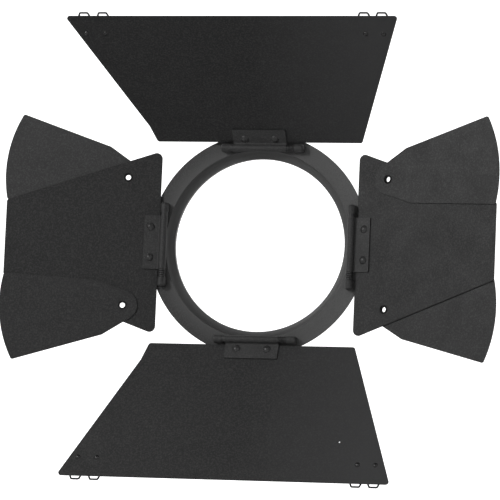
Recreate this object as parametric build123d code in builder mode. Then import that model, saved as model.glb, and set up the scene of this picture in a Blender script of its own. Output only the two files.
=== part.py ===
from build123d import *

import os
from collections import namedtuple
from math import cos, radians, sin, sqrt

# Barn door attachment: a flat ring that drops into a lamp's front holder, with
# four hinged doors around it. Each side door also carries two fan-shaped wings.
#
# Origin: centre of the ring, on its back face. The light travels along -Y, so
# the hinges are on the -Y side. +Z is up and +X is to the right from in front.
# All lengths are in millimetres and all angles in degrees.

# --- ring --------------------------------------------------------------------
RING_OUTER_RADIUS = 95.0
RING_OPENING_RADIUS = 73.8
RING_SHEET = 1.5
RING_LIP_DEPTH = 9.0  # how far the inner edge is turned back behind the ring
RING_BEND_RADIUS = 5.0  # inside radius of that bend
RING_EDGE_ROUND = 0.3

# --- hinges ------------------------------------------------------------------
HINGE_OFFSET = 81.4  # ring centre to each hinge axis
AXIS_HEIGHT = 5.0  # hinge axis in front of the ring's front face
ROD_RADIUS = 1.85
RUNNING_CLEARANCE = 0.05
HINGE_SHEET = 1.2
CURL_INNER_RADIUS = ROD_RADIUS + RUNNING_CLEARANCE
CURL_OUTER_RADIUS = CURL_INNER_RADIUS + HINGE_SHEET
PLATE_HALF_WIDTH = 23.0
PLATE_REACH = 16.8  # hinge axis to the plate's outer edge
PLATE_CORNER = 1.2
CREASE_RADIUS = 1.5  # where the curl meets the plate
SPACER_LENGTH = 2.8  # plain bush at one end of the curl
SPRING_STACK_LENGTH = 6.8  # disc springs at the other end
SPRING_DISC_COUNT = 8
SPRING_DISC_SHEET = 0.5
WASHER_RADIUS = 3.1
END_PLAY = 0.1  # free gap beside each end of the curl
LUG_RADIUS = 3.4
LUG_LENGTH = 8.0
LUG_END_ROUND = 2.0
LUG_BORE_DEPTH = 6.0

# --- doors -------------------------------------------------------------------
LEAF_SHEET = 0.9
LEAF_FRONT = -CURL_OUTER_RADIUS  # the leaf lies flat against the plate's back
LEAF_START = 3.7  # hinge axis to the leaf's inner edge
WIDE_LEAF_END = 129.4
WIDE_LEAF_INNER = (-89.8, 88.1)
WIDE_LEAF_OUTER = (-152.7, 131.5)
WIDE_LEAF_KINK = (-94.9, 19.4)  # the long side turns outwards here
NARROW_LEAF_END = 135.1
NARROW_LEAF_INNER_HALF = 78.7
NARROW_LEAF_OUTER_HALF = 32.1
LEAF_CORNER = 2.5
NARROW_LEAF_INNER_CORNER = 5.0
PINHOLE = (85.3, 92.0)
PINHOLE_RADIUS = 0.7

# --- rivets of the hinge plates ----------------------------------------------
RIVET_SPACING = 26.2
WIDE_RIVET_REACH = 7.9  # hinge axis to the rivets of the top and bottom doors
NARROW_RIVET_REACH = 11.2
RIVET_SHANK_RADIUS = 1.6
RIVET_HEAD_RADIUS = 3.4
RIVET_HEAD_HEIGHT = 1.8
RIVET_TAIL_RADIUS = 2.6
RIVET_TAIL_HEIGHT = 0.5

# --- wire clips on the outer edges of the wide doors ---------------------------
CLIP_POSITIONS = (-136.3, -120.0, 102.8, 117.8)
CLIP_WIRE_RADIUS = 0.6
CLIP_REACH = 3.0  # how far the loop stands past the leaf's edge
CLIP_BASE_HALF = 4.4
CLIP_TIP_HALF = 3.3
CLIP_EYE_HALF = 2.0
CLIP_CORNER = 1.2
CLIP_RIVET_INSET = 17.2
CLIP_RIVET_SHANK_RADIUS = 1.2
CLIP_RIVET_HEAD_RADIUS = 2.2
CLIP_RIVET_HEAD_HEIGHT = 1.1
CLIP_RIVET_TAIL_RADIUS = 3.6

# --- wings and their pivots ----------------------------------------------------
WING_SHEET = 0.8
PIVOT_ALONG = 54.8  # pivot from the door's centre line
PIVOT_REACH = 32.3  # pivot from the hinge axis
WING_TIP_RADIUS = 105.0
WING_END_RADIUS = 12.6
WING_KINK = (19.6, 23.4)  # along and across the wing, from the pivot
WING_HALF_ANGLE = 20.8  # half the angle that the tip arc spans
WING_END_ANGLE = 25.5  # slope of the short side between end and kink
WING_CORNER = 2.0
EYELET_HOLE_RADIUS = 2.3
EYELET_TUBE_RADIUS = 2.7
EYELET_FLANGE_RADIUS = 3.7
EYELET_FLANGE = 0.3
PIVOT_WASHER = 0.25
PIVOT_WASHER_RADIUS = 6.0
LAYER_GAP = 0.05  # running gap on each face of a wing

RING_FRONT = -RING_SHEET
AXIS_Y = RING_FRONT - AXIS_HEIGHT
LEAF_BACK = LEAF_FRONT - LEAF_SHEET

# A door is drawn on a plane through its hinge axis: local x runs along the axis,
# y outwards along the leaf, z out of its front face. hand is -1 where local x
# runs towards -X or -Z. tilt is how far the door leans forward from flat, and
# spring is the side of the hinge, along +X or +Z, that the disc springs are on.
Door = namedtuple("Door", "name radial along hand tilt spring rivet_reach")
DOORS = (
    Door("top", (0, 0, 1), (1, 0, 0), 1, 42.5, 1, WIDE_RIVET_REACH),
    Door("bottom", (0, 0, -1), (1, 0, 0), -1, 21.8, 1, WIDE_RIVET_REACH),
    Door("left", (-1, 0, 0), (0, 0, 1), 1, 11.0, -1, NARROW_RIVET_REACH),
    Door("right", (1, 0, 0), (0, 0, 1), -1, 18.0, -1, NARROW_RIVET_REACH),
)
WIDE_DOORS = DOORS[:2]
NARROW_DOORS = DOORS[2:]

# end is +1 for the upper wing and -1 for the lower one, fan is how far it points
# away from the door's centre line, and front says which face of the leaf it is on.
Wing = namedtuple("Wing", "name door end fan front")
WINGS = (
    Wing("upper_left", DOORS[2], 1, 8.5, False),
    Wing("lower_left", DOORS[2], -1, 7.5, True),
    Wing("upper_right", DOORS[3], 1, 7.5, True),
    Wing("lower_right", DOORS[3], -1, 5.0, False),
)

FRONTWARDS = Vector(0, -1, 0)


def door_plane(door, tilt=None):
    """The plane through a door's hinge axis, at its own tilt unless one is given."""
    angle = radians(door.tilt if tilt is None else tilt)
    radial = Vector(*door.radial)
    origin = radial * HINGE_OFFSET + Vector(0, AXIS_Y, 0)
    normal = FRONTWARDS * cos(angle) - radial * sin(angle)
    return Plane(origin, x_dir=Vector(*door.along) * door.hand, z_dir=normal)


def rod_plane(door, tilt=0.0):
    """A plane across the hinge axis: its x is the leaf's outward direction."""
    leaf = door_plane(door, tilt)
    return Plane(leaf.origin, x_dir=leaf.y_dir, z_dir=leaf.x_dir)


def finish(name, part):
    """Label a finished piece and write it out."""
    part.label = name
    export_step(part, f"parts/{name}.step")


def rivet(shank_radius, grip, head_radius, head_height, tail_radius, tail_height):
    """A domed rivet along Z whose head sits on z = 0."""
    tail = -grip - tail_height
    dome_radius = (head_radius**2 + head_height**2) / (2 * head_height)
    halfway = head_radius / 2
    dome = sqrt(dome_radius**2 - halfway**2) - dome_radius + head_height
    with BuildPart() as piece:
        with BuildSketch(Plane.XZ):
            with BuildLine():
                Polyline(
                    (0, head_height),
                    (0, tail),
                    (tail_radius, tail),
                    (tail_radius, -grip),
                    (shank_radius, -grip),
                    (shank_radius, 0),
                    (head_radius, 0),
                )
                ThreePointArc((head_radius, 0), (halfway, dome), (0, head_height))
            make_face()
        revolve(axis=Axis.Z)
    return piece.part


# --- ring ------------------------------------------------------------------------
def make_ring():
    """The flat ring, its inner edge turned back into a short round lip."""
    bend_centre = RING_OPENING_RADIUS + RING_SHEET + RING_BEND_RADIUS
    with BuildPart() as ring:
        with BuildSketch(Plane.XY):
            with BuildLine():
                Polyline(
                    (bend_centre, 0),
                    (RING_OUTER_RADIUS, 0),
                    (RING_OUTER_RADIUS, RING_FRONT),
                    (bend_centre, RING_FRONT),
                )
                RadiusArc(
                    (bend_centre, RING_FRONT),
                    (RING_OPENING_RADIUS, RING_BEND_RADIUS),
                    -(RING_BEND_RADIUS + RING_SHEET),
                )
                Polyline(
                    (RING_OPENING_RADIUS, RING_BEND_RADIUS),
                    (RING_OPENING_RADIUS, RING_LIP_DEPTH),
                    (RING_OPENING_RADIUS + RING_SHEET, RING_LIP_DEPTH),
                    (RING_OPENING_RADIUS + RING_SHEET, RING_BEND_RADIUS),
                )
                RadiusArc(
                    (RING_OPENING_RADIUS + RING_SHEET, RING_BEND_RADIUS),
                    (bend_centre, 0),
                    RING_BEND_RADIUS,
                )
            make_face()
        revolve(axis=Axis.Y)
        rim = ring.edges().filter_by(GeomType.CIRCLE).sort_by(SortBy.RADIUS)[-2:]
        fillet(rim, radius=RING_EDGE_ROUND)
    finish("ring", ring.part)


# --- fixed half of each hinge -------------------------------------------------------
def lug_starts(door):
    """Local x direction and inner face distance of a hinge's two lugs."""
    spring_side = door.hand * door.spring
    return (
        (spring_side, PLATE_HALF_WIDTH + END_PLAY + SPRING_STACK_LENGTH),
        (-spring_side, PLATE_HALF_WIDTH + END_PLAY + SPACER_LENGTH),
    )


def lug():
    """One boss along Z with its near face on z = 0, standing on the ring below it."""
    with BuildPart() as piece:
        with BuildSketch(Plane.XY):
            Circle(LUG_RADIUS)
            with Locations((0, -AXIS_HEIGHT / 2)):
                Rectangle(2 * LUG_RADIUS, AXIS_HEIGHT)
        extrude(amount=LUG_LENGTH)
        end_rim = piece.faces().sort_by(Axis.Z)[-1].edges().sort_by(Axis.Y)[1:]
        fillet(end_rim, radius=LUG_END_ROUND)
        with BuildSketch(Plane.XY):
            Circle(ROD_RADIUS + RUNNING_CLEARANCE)
        extrude(amount=LUG_BORE_DEPTH, mode=Mode.SUBTRACT)
    return piece.part


def make_lugs(door):
    """Two round-ended bosses on the ring, each bored part way for the rod."""
    piece = lug()
    across = rod_plane(door)
    with BuildPart() as lugs:
        for side, start in lug_starts(door):
            turn = 0 if side > 0 else 180
            with Locations(across.location * Location((0, 0, side * start), (0, turn, 0))):
                add(piece)
    finish(f"{door.name}_hinge_lugs", lugs.part)


def make_rod(door):
    """The hinge rod, seated at the bottom of both lug bores."""
    ends = sorted(side * (start + LUG_BORE_DEPTH) for side, start in lug_starts(door))
    with BuildPart() as rod:
        with BuildSketch(rod_plane(door).offset(ends[0])):
            Circle(ROD_RADIUS)
        extrude(amount=ends[1] - ends[0])
        chamfer(rod.edges().filter_by(GeomType.CIRCLE), length=0.4)
    finish(f"{door.name}_hinge_rod", rod.part)


def make_spacer(door):
    """The plain bush between one lug and the curl."""
    side, start = lug_starts(door)[1]
    near = side * (start - SPACER_LENGTH)
    far = side * start
    with BuildPart() as spacer:
        with BuildSketch(rod_plane(door).offset(min(near, far))):
            Circle(WASHER_RADIUS)
            Circle(ROD_RADIUS + RUNNING_CLEARANCE, mode=Mode.SUBTRACT)
        extrude(amount=SPACER_LENGTH)
    finish(f"{door.name}_hinge_spacer", spacer.part)


def spring_disc(rise):
    """One conical disc spring about Z, its outer rim lifted by rise."""
    inner = ROD_RADIUS + RUNNING_CLEARANCE
    low = max(0.0, -rise)
    with BuildPart() as disc:
        with BuildSketch(Plane.XZ):
            with BuildLine():
                Polyline(
                    (inner, low),
                    (WASHER_RADIUS, low + rise),
                    (WASHER_RADIUS, low + rise + SPRING_DISC_SHEET),
                    (inner, low + SPRING_DISC_SHEET),
                    close=True,
                )
            make_face()
        revolve(axis=Axis.Z)
    return disc.part


def make_spring_discs(door):
    """A stack of disc springs, set alternately, that gives the hinge its friction."""
    pitch = SPRING_STACK_LENGTH / SPRING_DISC_COUNT
    rise = pitch - SPRING_DISC_SHEET
    side, start = lug_starts(door)[0]
    first = min(side * start, side * (start - SPRING_STACK_LENGTH))
    discs = (spring_disc(rise), spring_disc(-rise))
    across = rod_plane(door)
    with BuildPart() as stack:
        for number in range(SPRING_DISC_COUNT):
            with Locations(across.offset(first + number * pitch).location):
                add(discs[number % 2])
    finish(f"{door.name}_spring_discs", stack.part)


# --- moving half of each hinge --------------------------------------------------------
def rivet_spots(door):
    """The two rivets of a hinge plate, on its door's plane."""
    return [(side * RIVET_SPACING / 2, door.rivet_reach) for side in (-1, 1)]


def make_hinge_plate(door):
    """A sheet plate whose inner edge is curled round the rod."""
    leaf = door_plane(door)
    with BuildPart() as plate:
        with BuildSketch(leaf.offset(LEAF_FRONT)) as sheet:
            with Locations((0, PLATE_REACH / 2)):
                Rectangle(2 * PLATE_HALF_WIDTH, PLATE_REACH)
            fillet(sheet.vertices().group_by(Axis.Y)[-1], radius=PLATE_CORNER)
            with Locations(*rivet_spots(door)):
                Circle(RIVET_SHANK_RADIUS, mode=Mode.SUBTRACT)
        extrude(amount=HINGE_SHEET)
        with BuildSketch(rod_plane(door, door.tilt).offset(-PLATE_HALF_WIDTH)):
            Circle(CURL_OUTER_RADIUS)
        extrude(amount=2 * PLATE_HALF_WIDTH)
        plate_front = LEAF_FRONT + HINGE_SHEET
        crease_reach = sqrt(CURL_OUTER_RADIUS**2 - plate_front**2)
        crease_middle = leaf.location * Location((0, crease_reach, plate_front))
        crease = plate.edges().sort_by_distance(crease_middle.position)[0]
        fillet(crease, radius=CREASE_RADIUS)
        with BuildSketch(rod_plane(door, door.tilt).offset(-PLATE_HALF_WIDTH)):
            Circle(CURL_INNER_RADIUS)
        extrude(amount=2 * PLATE_HALF_WIDTH, mode=Mode.SUBTRACT)
    finish(f"{door.name}_hinge_plate", plate.part)


def make_hinge_rivets(door):
    """Two domed rivets through hinge plate and leaf."""
    grip = HINGE_SHEET + LEAF_SHEET
    piece = rivet(
        RIVET_SHANK_RADIUS,
        grip,
        RIVET_HEAD_RADIUS,
        RIVET_HEAD_HEIGHT,
        RIVET_TAIL_RADIUS,
        RIVET_TAIL_HEIGHT,
    )
    head_seat = LEAF_FRONT + HINGE_SHEET
    with BuildPart() as rivets:
        for x, y in rivet_spots(door):
            with Locations(door_plane(door).location * Location((x, y, head_seat))):
                add(piece)
    finish(f"{door.name}_hinge_rivets", rivets.part)


# --- leaves ----------------------------------------------------------------------------
def make_wide_leaf(door):
    """The top or bottom leaf: long overhang on the left, straight side on the right."""
    clip_reach = WIDE_LEAF_END - CLIP_RIVET_INSET
    outline = (
        (WIDE_LEAF_INNER[0], LEAF_START),
        (WIDE_LEAF_INNER[1], LEAF_START),
        (WIDE_LEAF_OUTER[1], WIDE_LEAF_END),
        (WIDE_LEAF_OUTER[0], WIDE_LEAF_END),
        WIDE_LEAF_KINK,
    )
    with BuildPart() as leaf:
        with BuildSketch(door_plane(door).offset(LEAF_BACK)) as sheet:
            with BuildLine():
                Polyline(*[(door.hand * u, v) for u, v in outline], close=True)
            make_face()
            fillet(sheet.vertices(), radius=LEAF_CORNER)
            with Locations(*rivet_spots(door)):
                Circle(RIVET_SHANK_RADIUS, mode=Mode.SUBTRACT)
            with Locations(*[(door.hand * u, clip_reach) for u in CLIP_POSITIONS]):
                Circle(CLIP_RIVET_SHANK_RADIUS, mode=Mode.SUBTRACT)
            if door.name == "bottom":
                with Locations((door.hand * PINHOLE[0], PINHOLE[1])):
                    Circle(PINHOLE_RADIUS, mode=Mode.SUBTRACT)
        extrude(amount=LEAF_SHEET)
    finish(f"{door.name}_leaf", leaf.part)


def make_narrow_leaf(door):
    """The left or right leaf: it narrows outwards and has two wing pivots."""
    with BuildPart() as leaf:
        with BuildSketch(door_plane(door).offset(LEAF_BACK)) as sheet:
            with BuildLine():
                Polyline(
                    (-NARROW_LEAF_INNER_HALF, LEAF_START),
                    (NARROW_LEAF_INNER_HALF, LEAF_START),
                    (NARROW_LEAF_OUTER_HALF, NARROW_LEAF_END),
                    (-NARROW_LEAF_OUTER_HALF, NARROW_LEAF_END),
                    close=True,
                )
            make_face()
            fillet(sheet.vertices().group_by(Axis.Y)[0], radius=NARROW_LEAF_INNER_CORNER)
            fillet(sheet.vertices().group_by(Axis.Y)[-1], radius=LEAF_CORNER)
            with Locations(*rivet_spots(door)):
                Circle(RIVET_SHANK_RADIUS, mode=Mode.SUBTRACT)
            with Locations((-PIVOT_ALONG, PIVOT_REACH), (PIVOT_ALONG, PIVOT_REACH)):
                Circle(EYELET_TUBE_RADIUS, mode=Mode.SUBTRACT)
        extrude(amount=LEAF_SHEET)
    finish(f"{door.name}_leaf", leaf.part)


# --- wire clips ---------------------------------------------------------------------------
def make_clips(door):
    """Four closed loops of spring wire on the back of a wide leaf."""
    edge = CLIP_RIVET_INSET
    tip = edge + CLIP_REACH - CLIP_WIRE_RADIUS
    wire_plane = door_plane(door).offset(LEAF_BACK - CLIP_WIRE_RADIUS)
    reach = WIDE_LEAF_END - CLIP_RIVET_INSET
    with BuildPart() as clips:
        for u in CLIP_POSITIONS:
            centre = wire_plane.location * Location((door.hand * u, reach, 0))
            with BuildLine(Plane(centre)) as path:
                FilletPolyline(
                    (CLIP_EYE_HALF, -CLIP_EYE_HALF),
                    (CLIP_BASE_HALF, edge),
                    (CLIP_TIP_HALF, tip),
                    (-CLIP_TIP_HALF, tip),
                    (-CLIP_BASE_HALF, edge),
                    (-CLIP_EYE_HALF, -CLIP_EYE_HALF),
                    close=True,
                    radius=CLIP_CORNER,
                )
            with BuildSketch(Plane(path.line @ 0, z_dir=path.line % 0)):
                Circle(CLIP_WIRE_RADIUS)
            sweep(path=path.line)
    finish(f"{door.name}_edge_clips", clips.part)


def make_clip_rivets(door):
    """The four rivets that hold the wire clips."""
    piece = rivet(
        CLIP_RIVET_SHANK_RADIUS,
        LEAF_SHEET + 2 * CLIP_WIRE_RADIUS,
        CLIP_RIVET_HEAD_RADIUS,
        CLIP_RIVET_HEAD_HEIGHT,
        CLIP_RIVET_TAIL_RADIUS,
        RIVET_TAIL_HEIGHT,
    )
    reach = WIDE_LEAF_END - CLIP_RIVET_INSET
    with BuildPart() as rivets:
        for u in CLIP_POSITIONS:
            seat = Location((door.hand * u, reach, LEAF_FRONT))
            with Locations(door_plane(door).location * seat):
                add(piece)
    finish(f"{door.name}_clip_rivets", rivets.part)


# --- wings --------------------------------------------------------------------------------
def wing_layers(wing):
    """Local heights of a wing's back face, its washer's back face and both flanges' seats."""
    stack = PIVOT_WASHER + LAYER_GAP
    if wing.front:
        back = LEAF_FRONT + stack
        return back, LEAF_FRONT, LEAF_BACK, back + WING_SHEET + LAYER_GAP
    back = LEAF_BACK - stack - WING_SHEET
    return back, LEAF_BACK - PIVOT_WASHER, back - LAYER_GAP, LEAF_FRONT


def pivot_point(wing):
    """A wing's pivot on its door's plane."""
    return (wing.door.hand * wing.end * PIVOT_ALONG, PIVOT_REACH)


def make_wing(wing):
    """A fan of sheet: round end about the pivot, widening sides and an arc at the tip."""
    side = wing.door.hand * wing.end
    pivot = Location((*pivot_point(wing), wing_layers(wing)[0]), (0, 0, -side * wing.fan))
    along, across = WING_KINK
    corner = radians(WING_HALF_ANGLE)
    end = radians(WING_END_ANGLE)
    tip = (WING_TIP_RADIUS * sin(corner), WING_TIP_RADIUS * cos(corner))
    tangent = (WING_END_RADIUS * cos(end), -WING_END_RADIUS * sin(end))
    with BuildPart() as piece:
        with BuildSketch(Plane(door_plane(wing.door).location * pivot)) as sheet:
            with BuildLine():
                ThreePointArc((-tip[0], tip[1]), (0, WING_TIP_RADIUS), tip)
                Polyline(tip, (across, along), tangent)
                ThreePointArc(tangent, (0, -WING_END_RADIUS), (-tangent[0], tangent[1]))
                Polyline((-tangent[0], tangent[1]), (-across, along), (-tip[0], tip[1]))
            make_face()
            fillet(sheet.vertices().group_by(Axis.Y)[-1], radius=WING_CORNER)
            Circle(EYELET_TUBE_RADIUS + RUNNING_CLEARANCE, mode=Mode.SUBTRACT)
        extrude(amount=WING_SHEET)
    finish(f"{wing.name}_wing", piece.part)


def make_pivot_washer(wing):
    """The friction washer between a wing and its leaf."""
    with BuildPart() as washer:
        with BuildSketch(door_plane(wing.door).offset(wing_layers(wing)[1])):
            with Locations(pivot_point(wing)):
                Circle(PIVOT_WASHER_RADIUS)
                Circle(EYELET_TUBE_RADIUS, mode=Mode.SUBTRACT)
        extrude(amount=PIVOT_WASHER)
    finish(f"{wing.name}_pivot_washer", washer.part)


def make_eyelet(wing):
    """The hollow rivet that a wing turns on."""
    low, high = wing_layers(wing)[2:]
    plane = door_plane(wing.door)
    with BuildPart() as eyelet:
        for height, radius, length in (
            (low - EYELET_FLANGE, EYELET_FLANGE_RADIUS, EYELET_FLANGE),
            (low, EYELET_TUBE_RADIUS, high - low),
            (high, EYELET_FLANGE_RADIUS, EYELET_FLANGE),
        ):
            with BuildSketch(plane.offset(height)):
                with Locations(pivot_point(wing)):
                    Circle(radius)
                    Circle(EYELET_HOLE_RADIUS, mode=Mode.SUBTRACT)
            extrude(amount=length)
        flange_rims = (
            eyelet.edges()
            .filter_by(GeomType.CIRCLE)
            .group_by(SortBy.RADIUS)[-1]
        )
        fillet(flange_rims, radius=0.1)
    finish(f"{wing.name}_eyelet", eyelet.part)


os.makedirs("parts", exist_ok=True)
make_ring()
for door in DOORS:
    make_lugs(door)
    make_rod(door)
    make_spacer(door)
    make_spring_discs(door)
    make_hinge_plate(door)
    make_hinge_rivets(door)
for door in WIDE_DOORS:
    make_wide_leaf(door)
    make_clips(door)
    make_clip_rivets(door)
for door in NARROW_DOORS:
    make_narrow_leaf(door)
for wing in WINGS:
    make_wing(wing)
    make_pivot_washer(wing)
    make_eyelet(wing)
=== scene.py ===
"""Looks of the barn door attachment: black enamelled sheet steel round a lamp's beam."""

import math

import bpy
from mathutils import Matrix, Vector

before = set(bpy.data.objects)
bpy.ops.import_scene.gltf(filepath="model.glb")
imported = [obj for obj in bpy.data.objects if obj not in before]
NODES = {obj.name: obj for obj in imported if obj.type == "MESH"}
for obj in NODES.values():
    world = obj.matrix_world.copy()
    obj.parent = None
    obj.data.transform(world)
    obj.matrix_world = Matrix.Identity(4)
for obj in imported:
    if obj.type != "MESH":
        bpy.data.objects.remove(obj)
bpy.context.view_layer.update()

# --- camera, in degrees and metres --------------------------------------------
CAMERA_AZIMUTH = 13.47
CAMERA_ELEVATION = -6.8
CAMERA_ROLL = 2.46
CAMERA_DISTANCE = 3.182
CAMERA_LENS = 270.8
SENSOR_WIDTH = 36.0
CAMERA_SHIFT = (-0.0160, -0.0111)
FARTHEST_SEEN = 50.0

# --- lamps: azimuth and elevation in degrees, distance and side in metres, watts ---
KEY = (-36.0, 20.0, 2.2, 0.5, 17.5)
FILL = (25.0, -5.0, 2.6, 1.6, 4.0)
WORLD_STRENGTH = 0.18

# --- studio, in metres ----------------------------------------------------------
FLOOR_HEIGHT = -0.75
WALL_RADIUS = 5.4
WALL_TOP = 6.0
WALL_BEND = 0.8
WALL_SEGMENTS = 64
WALL_BEND_STEPS = 12
FLOOR_DISC_RADIUS = 1.0
PAPER_DARK = (0.58, 0.58, 0.58)
PAPER_LIGHT = (0.62, 0.62, 0.62)
PAPER_SCALE = 3.0
WASH_HEIGHTS = (-0.70, -0.25)
WASH_BY_HEIGHT = (0.17, 1.0)  # light given off at those two heights
WASH_DEPTHS = (-1.0, 3.5)
WASH_BY_DEPTH = (0.12, 1.05)  # and at those two depths, from the front to the back

# --- paint and steel: lengths in metres, texture scales per metre ---------------
EDGE_SOFTNESS = 0.00035  # how far paint rounds over an edge
WIRE_COAT = 0.00015  # thickness of the coat on the clip wires
DUST = 0.03  # how much paler than the paint its specks are
MOTTLE_SCALE = 22.0
DUST_SCALE = 750.0
STREAK_SCALE = 60.0
PEEL_SCALE = 900.0
PEEL_DEPTH = 0.00012
PEEL_STRENGTH = 0.45
TARNISH_SCALE = 300.0
SCRATCH_SCALE = 1500.0
SCRATCH_DEPTH = 0.00005
SCRATCH_STRENGTH = 0.15

WHITE = (1.0, 1.0, 1.0, 1.0)

# Places of the colour sockets on a Mix node.
MIX_FIRST = 6
MIX_SECOND = 7
MIX_RESULT = 2


# --- small helpers ----------------------------------------------------------------
def add_node(tree, kind, **values):
    """A node of that kind, with its properties or input sockets set by name."""
    node = tree.nodes.new(kind)
    for key, value in values.items():
        if hasattr(node, key):
            setattr(node, key, value)
        else:
            node.inputs[key.replace("_", " ")].default_value = value
    return node


def new_surface(name, **values):
    """A material, its tree, its object coordinates and its principled shader."""
    material = bpy.data.materials.new(name)
    material.use_nodes = True
    tree = material.node_tree
    tree.nodes.clear()
    coords = add_node(tree, "ShaderNodeTexCoord").outputs["Object"]
    output = add_node(tree, "ShaderNodeOutputMaterial")
    shader = add_node(tree, "ShaderNodeBsdfPrincipled", **values)
    tree.links.new(shader.outputs["BSDF"], output.inputs["Surface"])
    return material, tree, coords, shader


def noise(tree, coords, scale, detail=4.0, roughness=0.55):
    """A noise texture in object space."""
    node = add_node(tree, "ShaderNodeTexNoise", Scale=scale, Detail=detail, Roughness=roughness)
    tree.links.new(coords, node.inputs["Vector"])
    return node.outputs["Fac"]


def remap(tree, value, from_low, from_high, to_low, to_high):
    """A value carried from one range to another and held inside it."""
    node = add_node(
        tree,
        "ShaderNodeMapRange",
        From_Min=from_low,
        From_Max=from_high,
        To_Min=to_low,
        To_Max=to_high,
    )
    tree.links.new(value, node.inputs["Value"])
    return node.outputs["Result"]


def mix_colours(tree, factor, first, second):
    """First colour where the factor is 0, second where it is 1. Either may be a socket."""
    node = add_node(tree, "ShaderNodeMix", data_type="RGBA")
    tree.links.new(factor, node.inputs["Factor"])
    for colour, socket in ((first, node.inputs[MIX_FIRST]), (second, node.inputs[MIX_SECOND])):
        if isinstance(colour, tuple):
            socket.default_value = (*colour, 1.0)
        else:
            tree.links.new(colour, socket)
    return node.outputs[MIX_RESULT]


def separate(tree, coords):
    """The X, Y and Z of the coordinates."""
    axes = add_node(tree, "ShaderNodeSeparateXYZ")
    tree.links.new(coords, axes.inputs["Vector"])
    return axes.outputs


# --- materials ----------------------------------------------------------------------
def enamel(name, dark, light, roughness, painted_light=(), shine=0.35):
    """Satin black enamel: orange peel, faint mottling and dust, with painted light over them.

    The list after the roughness holds painted light, sheen and glow put in as paler paint:
    each entry is a way of measuring, the two distances in metres that it runs between,
    and how many times as pale as the light colour it ends.
    """
    material, tree, coords, shader = new_surface(name)

    mottle = remap(tree, noise(tree, coords, MOTTLE_SCALE, 5.0, 0.6), 0.30, 0.70, 0.0, 1.0)
    colour = mix_colours(tree, mottle, dark, light)
    # Painted light: each entry paints sheen or glow as paler colour along its measure.
    for measure, start, end, gain in painted_light:
        amount = remap(tree, measure(tree, coords), start, end, 0.0, 1.0)
        colour = mix_colours(tree, amount, colour, tuple(gain * c for c in light))
    speckle = remap(tree, noise(tree, coords, DUST_SCALE, 2.0, 0.7), 0.45, 0.70, 0.0, 0.75)
    grained = mix_colours(tree, speckle, colour, tuple(c + DUST for c in light))
    tree.links.new(grained, shader.inputs["Base Color"])

    streaks = noise(tree, coords, STREAK_SCALE, 6.0, 0.65)
    sheen = remap(tree, streaks, 0.3, 0.7, roughness - 0.05, roughness + 0.07)
    tree.links.new(sheen, shader.inputs["Roughness"])
    peel = noise(tree, coords, PEEL_SCALE, 2.0, 0.6)
    rounded = add_node(tree, "ShaderNodeBevel", samples=4, Radius=EDGE_SOFTNESS)
    bump = add_node(tree, "ShaderNodeBump", Strength=PEEL_STRENGTH, Distance=PEEL_DEPTH)
    tree.links.new(rounded.outputs["Normal"], bump.inputs["Normal"])
    tree.links.new(peel, bump.inputs["Height"])
    tree.links.new(bump.outputs["Normal"], shader.inputs["Normal"])
    shader.inputs["Specular IOR Level"].default_value = shine
    return material


def sideways(tree, coords):
    """Distance to the right of the ring's centre, seen from in front."""
    return separate(tree, coords)["X"]


def from_centre(tree, coords):
    """Distance from the ring's centre."""
    length = add_node(tree, "ShaderNodeVectorMath", operation="LENGTH")
    tree.links.new(coords, length.inputs[0])
    return length.outputs["Value"]


def bare_steel(name, dark, light, roughness, metallic):
    """Blackened steel, unevenly tarnished, with a fine scratched grain."""
    material, tree, coords, shader = new_surface(name, Metallic=metallic)
    tarnish = remap(tree, noise(tree, coords, TARNISH_SCALE, 5.0), 0.35, 0.65, 0.0, 1.0)
    tree.links.new(mix_colours(tree, tarnish, dark, light), shader.inputs["Base Color"])
    scratches = noise(tree, coords, SCRATCH_SCALE, 2.0)
    sheen = remap(tree, scratches, 0.3, 0.7, roughness - 0.08, roughness + 0.1)
    tree.links.new(sheen, shader.inputs["Roughness"])
    bump = add_node(tree, "ShaderNodeBump", Strength=SCRATCH_STRENGTH, Distance=SCRATCH_DEPTH)
    tree.links.new(scratches, bump.inputs["Height"])
    tree.links.new(bump.outputs["Normal"], shader.inputs["Normal"])
    return material


def pale_backdrop():
    """Matt pale grey paper, washed with light that grows upwards and towards the back."""
    material, tree, coords, shader = new_surface("backdrop_paper", Roughness=0.9)
    uneven = noise(tree, coords, PAPER_SCALE)
    paper = mix_colours(tree, uneven, PAPER_DARK, PAPER_LIGHT)
    tree.links.new(paper, shader.inputs["Base Color"])
    shader.inputs["Emission Color"].default_value = WHITE
    axes = separate(tree, coords)
    wash = add_node(tree, "ShaderNodeMath", operation="MULTIPLY")
    by_height = remap(tree, axes["Z"], *WASH_HEIGHTS, *WASH_BY_HEIGHT)
    by_depth = remap(tree, axes["Y"], *WASH_DEPTHS, *WASH_BY_DEPTH)
    tree.links.new(by_height, wash.inputs[0])
    tree.links.new(by_depth, wash.inputs[1])
    tree.links.new(wash.outputs["Value"], shader.inputs["Emission Strength"])
    return material


# Top and bottom leaves. Painted sheen: paler towards the right, up to 3.6 times the light colour.
LEAF_ENAMEL = enamel(
    "leaf_enamel",
    (0.007, 0.007, 0.0072),
    (0.009, 0.009, 0.0092),
    0.55,
    [(sideways, 0.0, 0.11, 3.6)],
)
# Painted light: a slightly paler, lit copy of the leaf enamel, for the side leaves.
SIDE_ENAMEL = enamel("side_enamel", (0.009, 0.009, 0.0092), (0.012, 0.012, 0.0122), 0.55)
# Painted light: a paler, lit copy of the wing enamel, for the upper left wing.
LIT_WING_ENAMEL = enamel("lit_wing_enamel", (0.025, 0.025, 0.0252), (0.032, 0.032, 0.0322), 0.52)
WING_ENAMEL = enamel("wing_enamel", (0.013, 0.013, 0.0132), (0.018, 0.018, 0.0182), 0.54)
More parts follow.
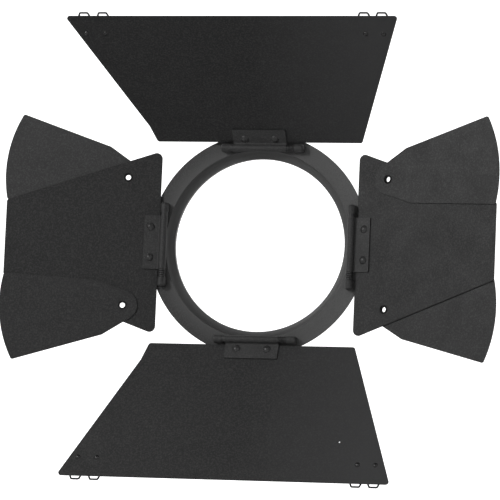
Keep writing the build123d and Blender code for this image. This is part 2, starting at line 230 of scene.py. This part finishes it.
# Painted light on the ring: a painted sheen paler towards the right, and a painted glow paler towards
# the inner edge.
RING_ENAMEL = enamel(
    "ring_enamel",
    (0.019, 0.019, 0.019),
    (0.024, 0.024, 0.024),
    0.44,
    [(sideways, -0.03, 0.08, 3.8), (from_centre, 0.092, 0.074, 3.0)],
)
HINGE_ENAMEL = enamel("hinge_enamel", (0.022, 0.022, 0.0222), (0.028, 0.028, 0.028), 0.58)
RIVET_ENAMEL = enamel("rivet_enamel", (0.022, 0.022, 0.0222), (0.032, 0.032, 0.032), 0.26)
GLOSSY_ENAMEL = enamel("glossy_enamel", (0.006, 0.006, 0.006), (0.008, 0.008, 0.008), 0.20, shine=0.5)
MATT_ENAMEL = enamel("matt_enamel", (0.006, 0.006, 0.006), (0.010, 0.010, 0.010), 0.85, shine=0.08)
ROD_STEEL = bare_steel("rod_steel", (0.02, 0.02, 0.021), (0.05, 0.05, 0.05), 0.50, 0.4)

# The first ending that fits a node's name gives its finish. The ring fits none.
FINISHES = (
    ("left_leaf", SIDE_ENAMEL),
    ("right_leaf", SIDE_ENAMEL),
    ("_leaf", LEAF_ENAMEL),
    ("upper_left_wing", LIT_WING_ENAMEL),
    ("_wing", WING_ENAMEL),
    ("_clip_rivets", GLOSSY_ENAMEL),
    ("_hinge_plate", HINGE_ENAMEL),
    ("_hinge_lugs", HINGE_ENAMEL),
    ("_rivets", RIVET_ENAMEL),
    ("_eyelet", MATT_ENAMEL),
    ("_hinge_rod", ROD_STEEL),
    ("_hinge_spacer", ROD_STEEL),
    ("_spring_discs", ROD_STEEL),
    ("_pivot_washer", ROD_STEEL),
    ("_edge_clips", MATT_ENAMEL),
)


def finish_of(node):
    """The material of a CAD node, found from the end of its name."""
    for ending, material in FINISHES:
        if node.endswith(ending):
            return material
    return RING_ENAMEL


def paint_nodes():
    """Every CAD node gets its own finish, and the wires a coat with some thickness."""
    for name, node in NODES.items():
        for material_slot in node.material_slots:
            material_slot.material = finish_of(name)
        if name.endswith("_edge_clips"):
            coat = node.modifiers.new("coat", "DISPLACE")
            coat.mid_level = 0.0
            coat.strength = WIRE_COAT


# --- camera and light -------------------------------------------------------------------
def outward(azimuth, elevation):
    """The direction from the object towards a viewer at that azimuth and elevation."""
    az = math.radians(azimuth)
    el = math.radians(elevation)
    return Vector((math.sin(az) * math.cos(el), -math.cos(az) * math.cos(el), math.sin(el)))


def facing_object(azimuth, elevation, distance):
    """The placement of a camera or lamp that stands there and looks at the object."""
    back = outward(azimuth, elevation)
    aim = back.to_track_quat("Z", "Y").to_matrix().to_4x4()
    return Matrix.Translation(back * distance) @ aim


def add_camera():
    """A long lens from a little below and to the right, tipped slightly."""
    data = bpy.data.cameras.new("camera")
    data.lens = CAMERA_LENS
    data.sensor_width = SENSOR_WIDTH
    data.shift_x, data.shift_y = CAMERA_SHIFT
    data.clip_end = FARTHEST_SEEN
    camera = bpy.data.objects.new("camera", data)
    roll = Matrix.Rotation(math.radians(CAMERA_ROLL), 4, "Z")
    stand = facing_object(CAMERA_AZIMUTH, CAMERA_ELEVATION, CAMERA_DISTANCE)
    camera.matrix_world = stand @ roll
    bpy.context.scene.collection.objects.link(camera)
    bpy.context.scene.camera = camera


def add_softbox(name, azimuth, elevation, distance, side, power):
    """A square area light that faces the object."""
    data = bpy.data.lights.new(name, "AREA")
    data.size = side
    data.energy = power
    light = bpy.data.objects.new(name, data)
    light.matrix_world = facing_object(azimuth, elevation, distance)
    bpy.context.scene.collection.objects.link(light)


def add_world(strength):
    """Even white light from all round."""
    world = bpy.data.worlds.new("studio")
    world.use_nodes = True
    background = world.node_tree.nodes["Background"]
    background.inputs["Color"].default_value = WHITE
    background.inputs["Strength"].default_value = strength
    bpy.context.scene.world = world


def add_backdrop():
    """A round pale floor that curves up into a wall, with room for the camera inside it."""
    rings = [(FLOOR_DISC_RADIUS, FLOOR_HEIGHT)]
    for step in range(WALL_BEND_STEPS + 1):
        turn = math.radians(90.0 * step / WALL_BEND_STEPS)
        radius = WALL_RADIUS - WALL_BEND + WALL_BEND * math.sin(turn)
        rings.append((radius, FLOOR_HEIGHT + WALL_BEND - WALL_BEND * math.cos(turn)))
    rings.append((WALL_RADIUS, WALL_TOP))

    vertices = []
    for radius, height in rings:
        for segment in range(WALL_SEGMENTS):
            angle = math.tau * segment / WALL_SEGMENTS
            vertices.append((radius * math.cos(angle), radius * math.sin(angle), height))
    faces = [tuple(range(WALL_SEGMENTS))]
    for ring in range(len(rings) - 1):
        inner = ring * WALL_SEGMENTS
        outer = inner + WALL_SEGMENTS
        for segment in range(WALL_SEGMENTS):
            following = (segment + 1) % WALL_SEGMENTS
            faces.append((inner + segment, outer + segment, outer + following, inner + following))

    mesh = bpy.data.meshes.new("backdrop")
    mesh.from_pydata(vertices, [], faces)
    for polygon in mesh.polygons:
        polygon.use_smooth = True
    mesh.materials.append(pale_backdrop())
    backdrop = bpy.data.objects.new("backdrop", mesh)
    bpy.context.scene.collection.objects.link(backdrop)


paint_nodes()
add_camera()
add_world(WORLD_STRENGTH)
add_softbox("key", *KEY)
add_softbox("fill", *FILL)
add_backdrop()
bpy.context.scene.view_settings.view_transform = "Standard"
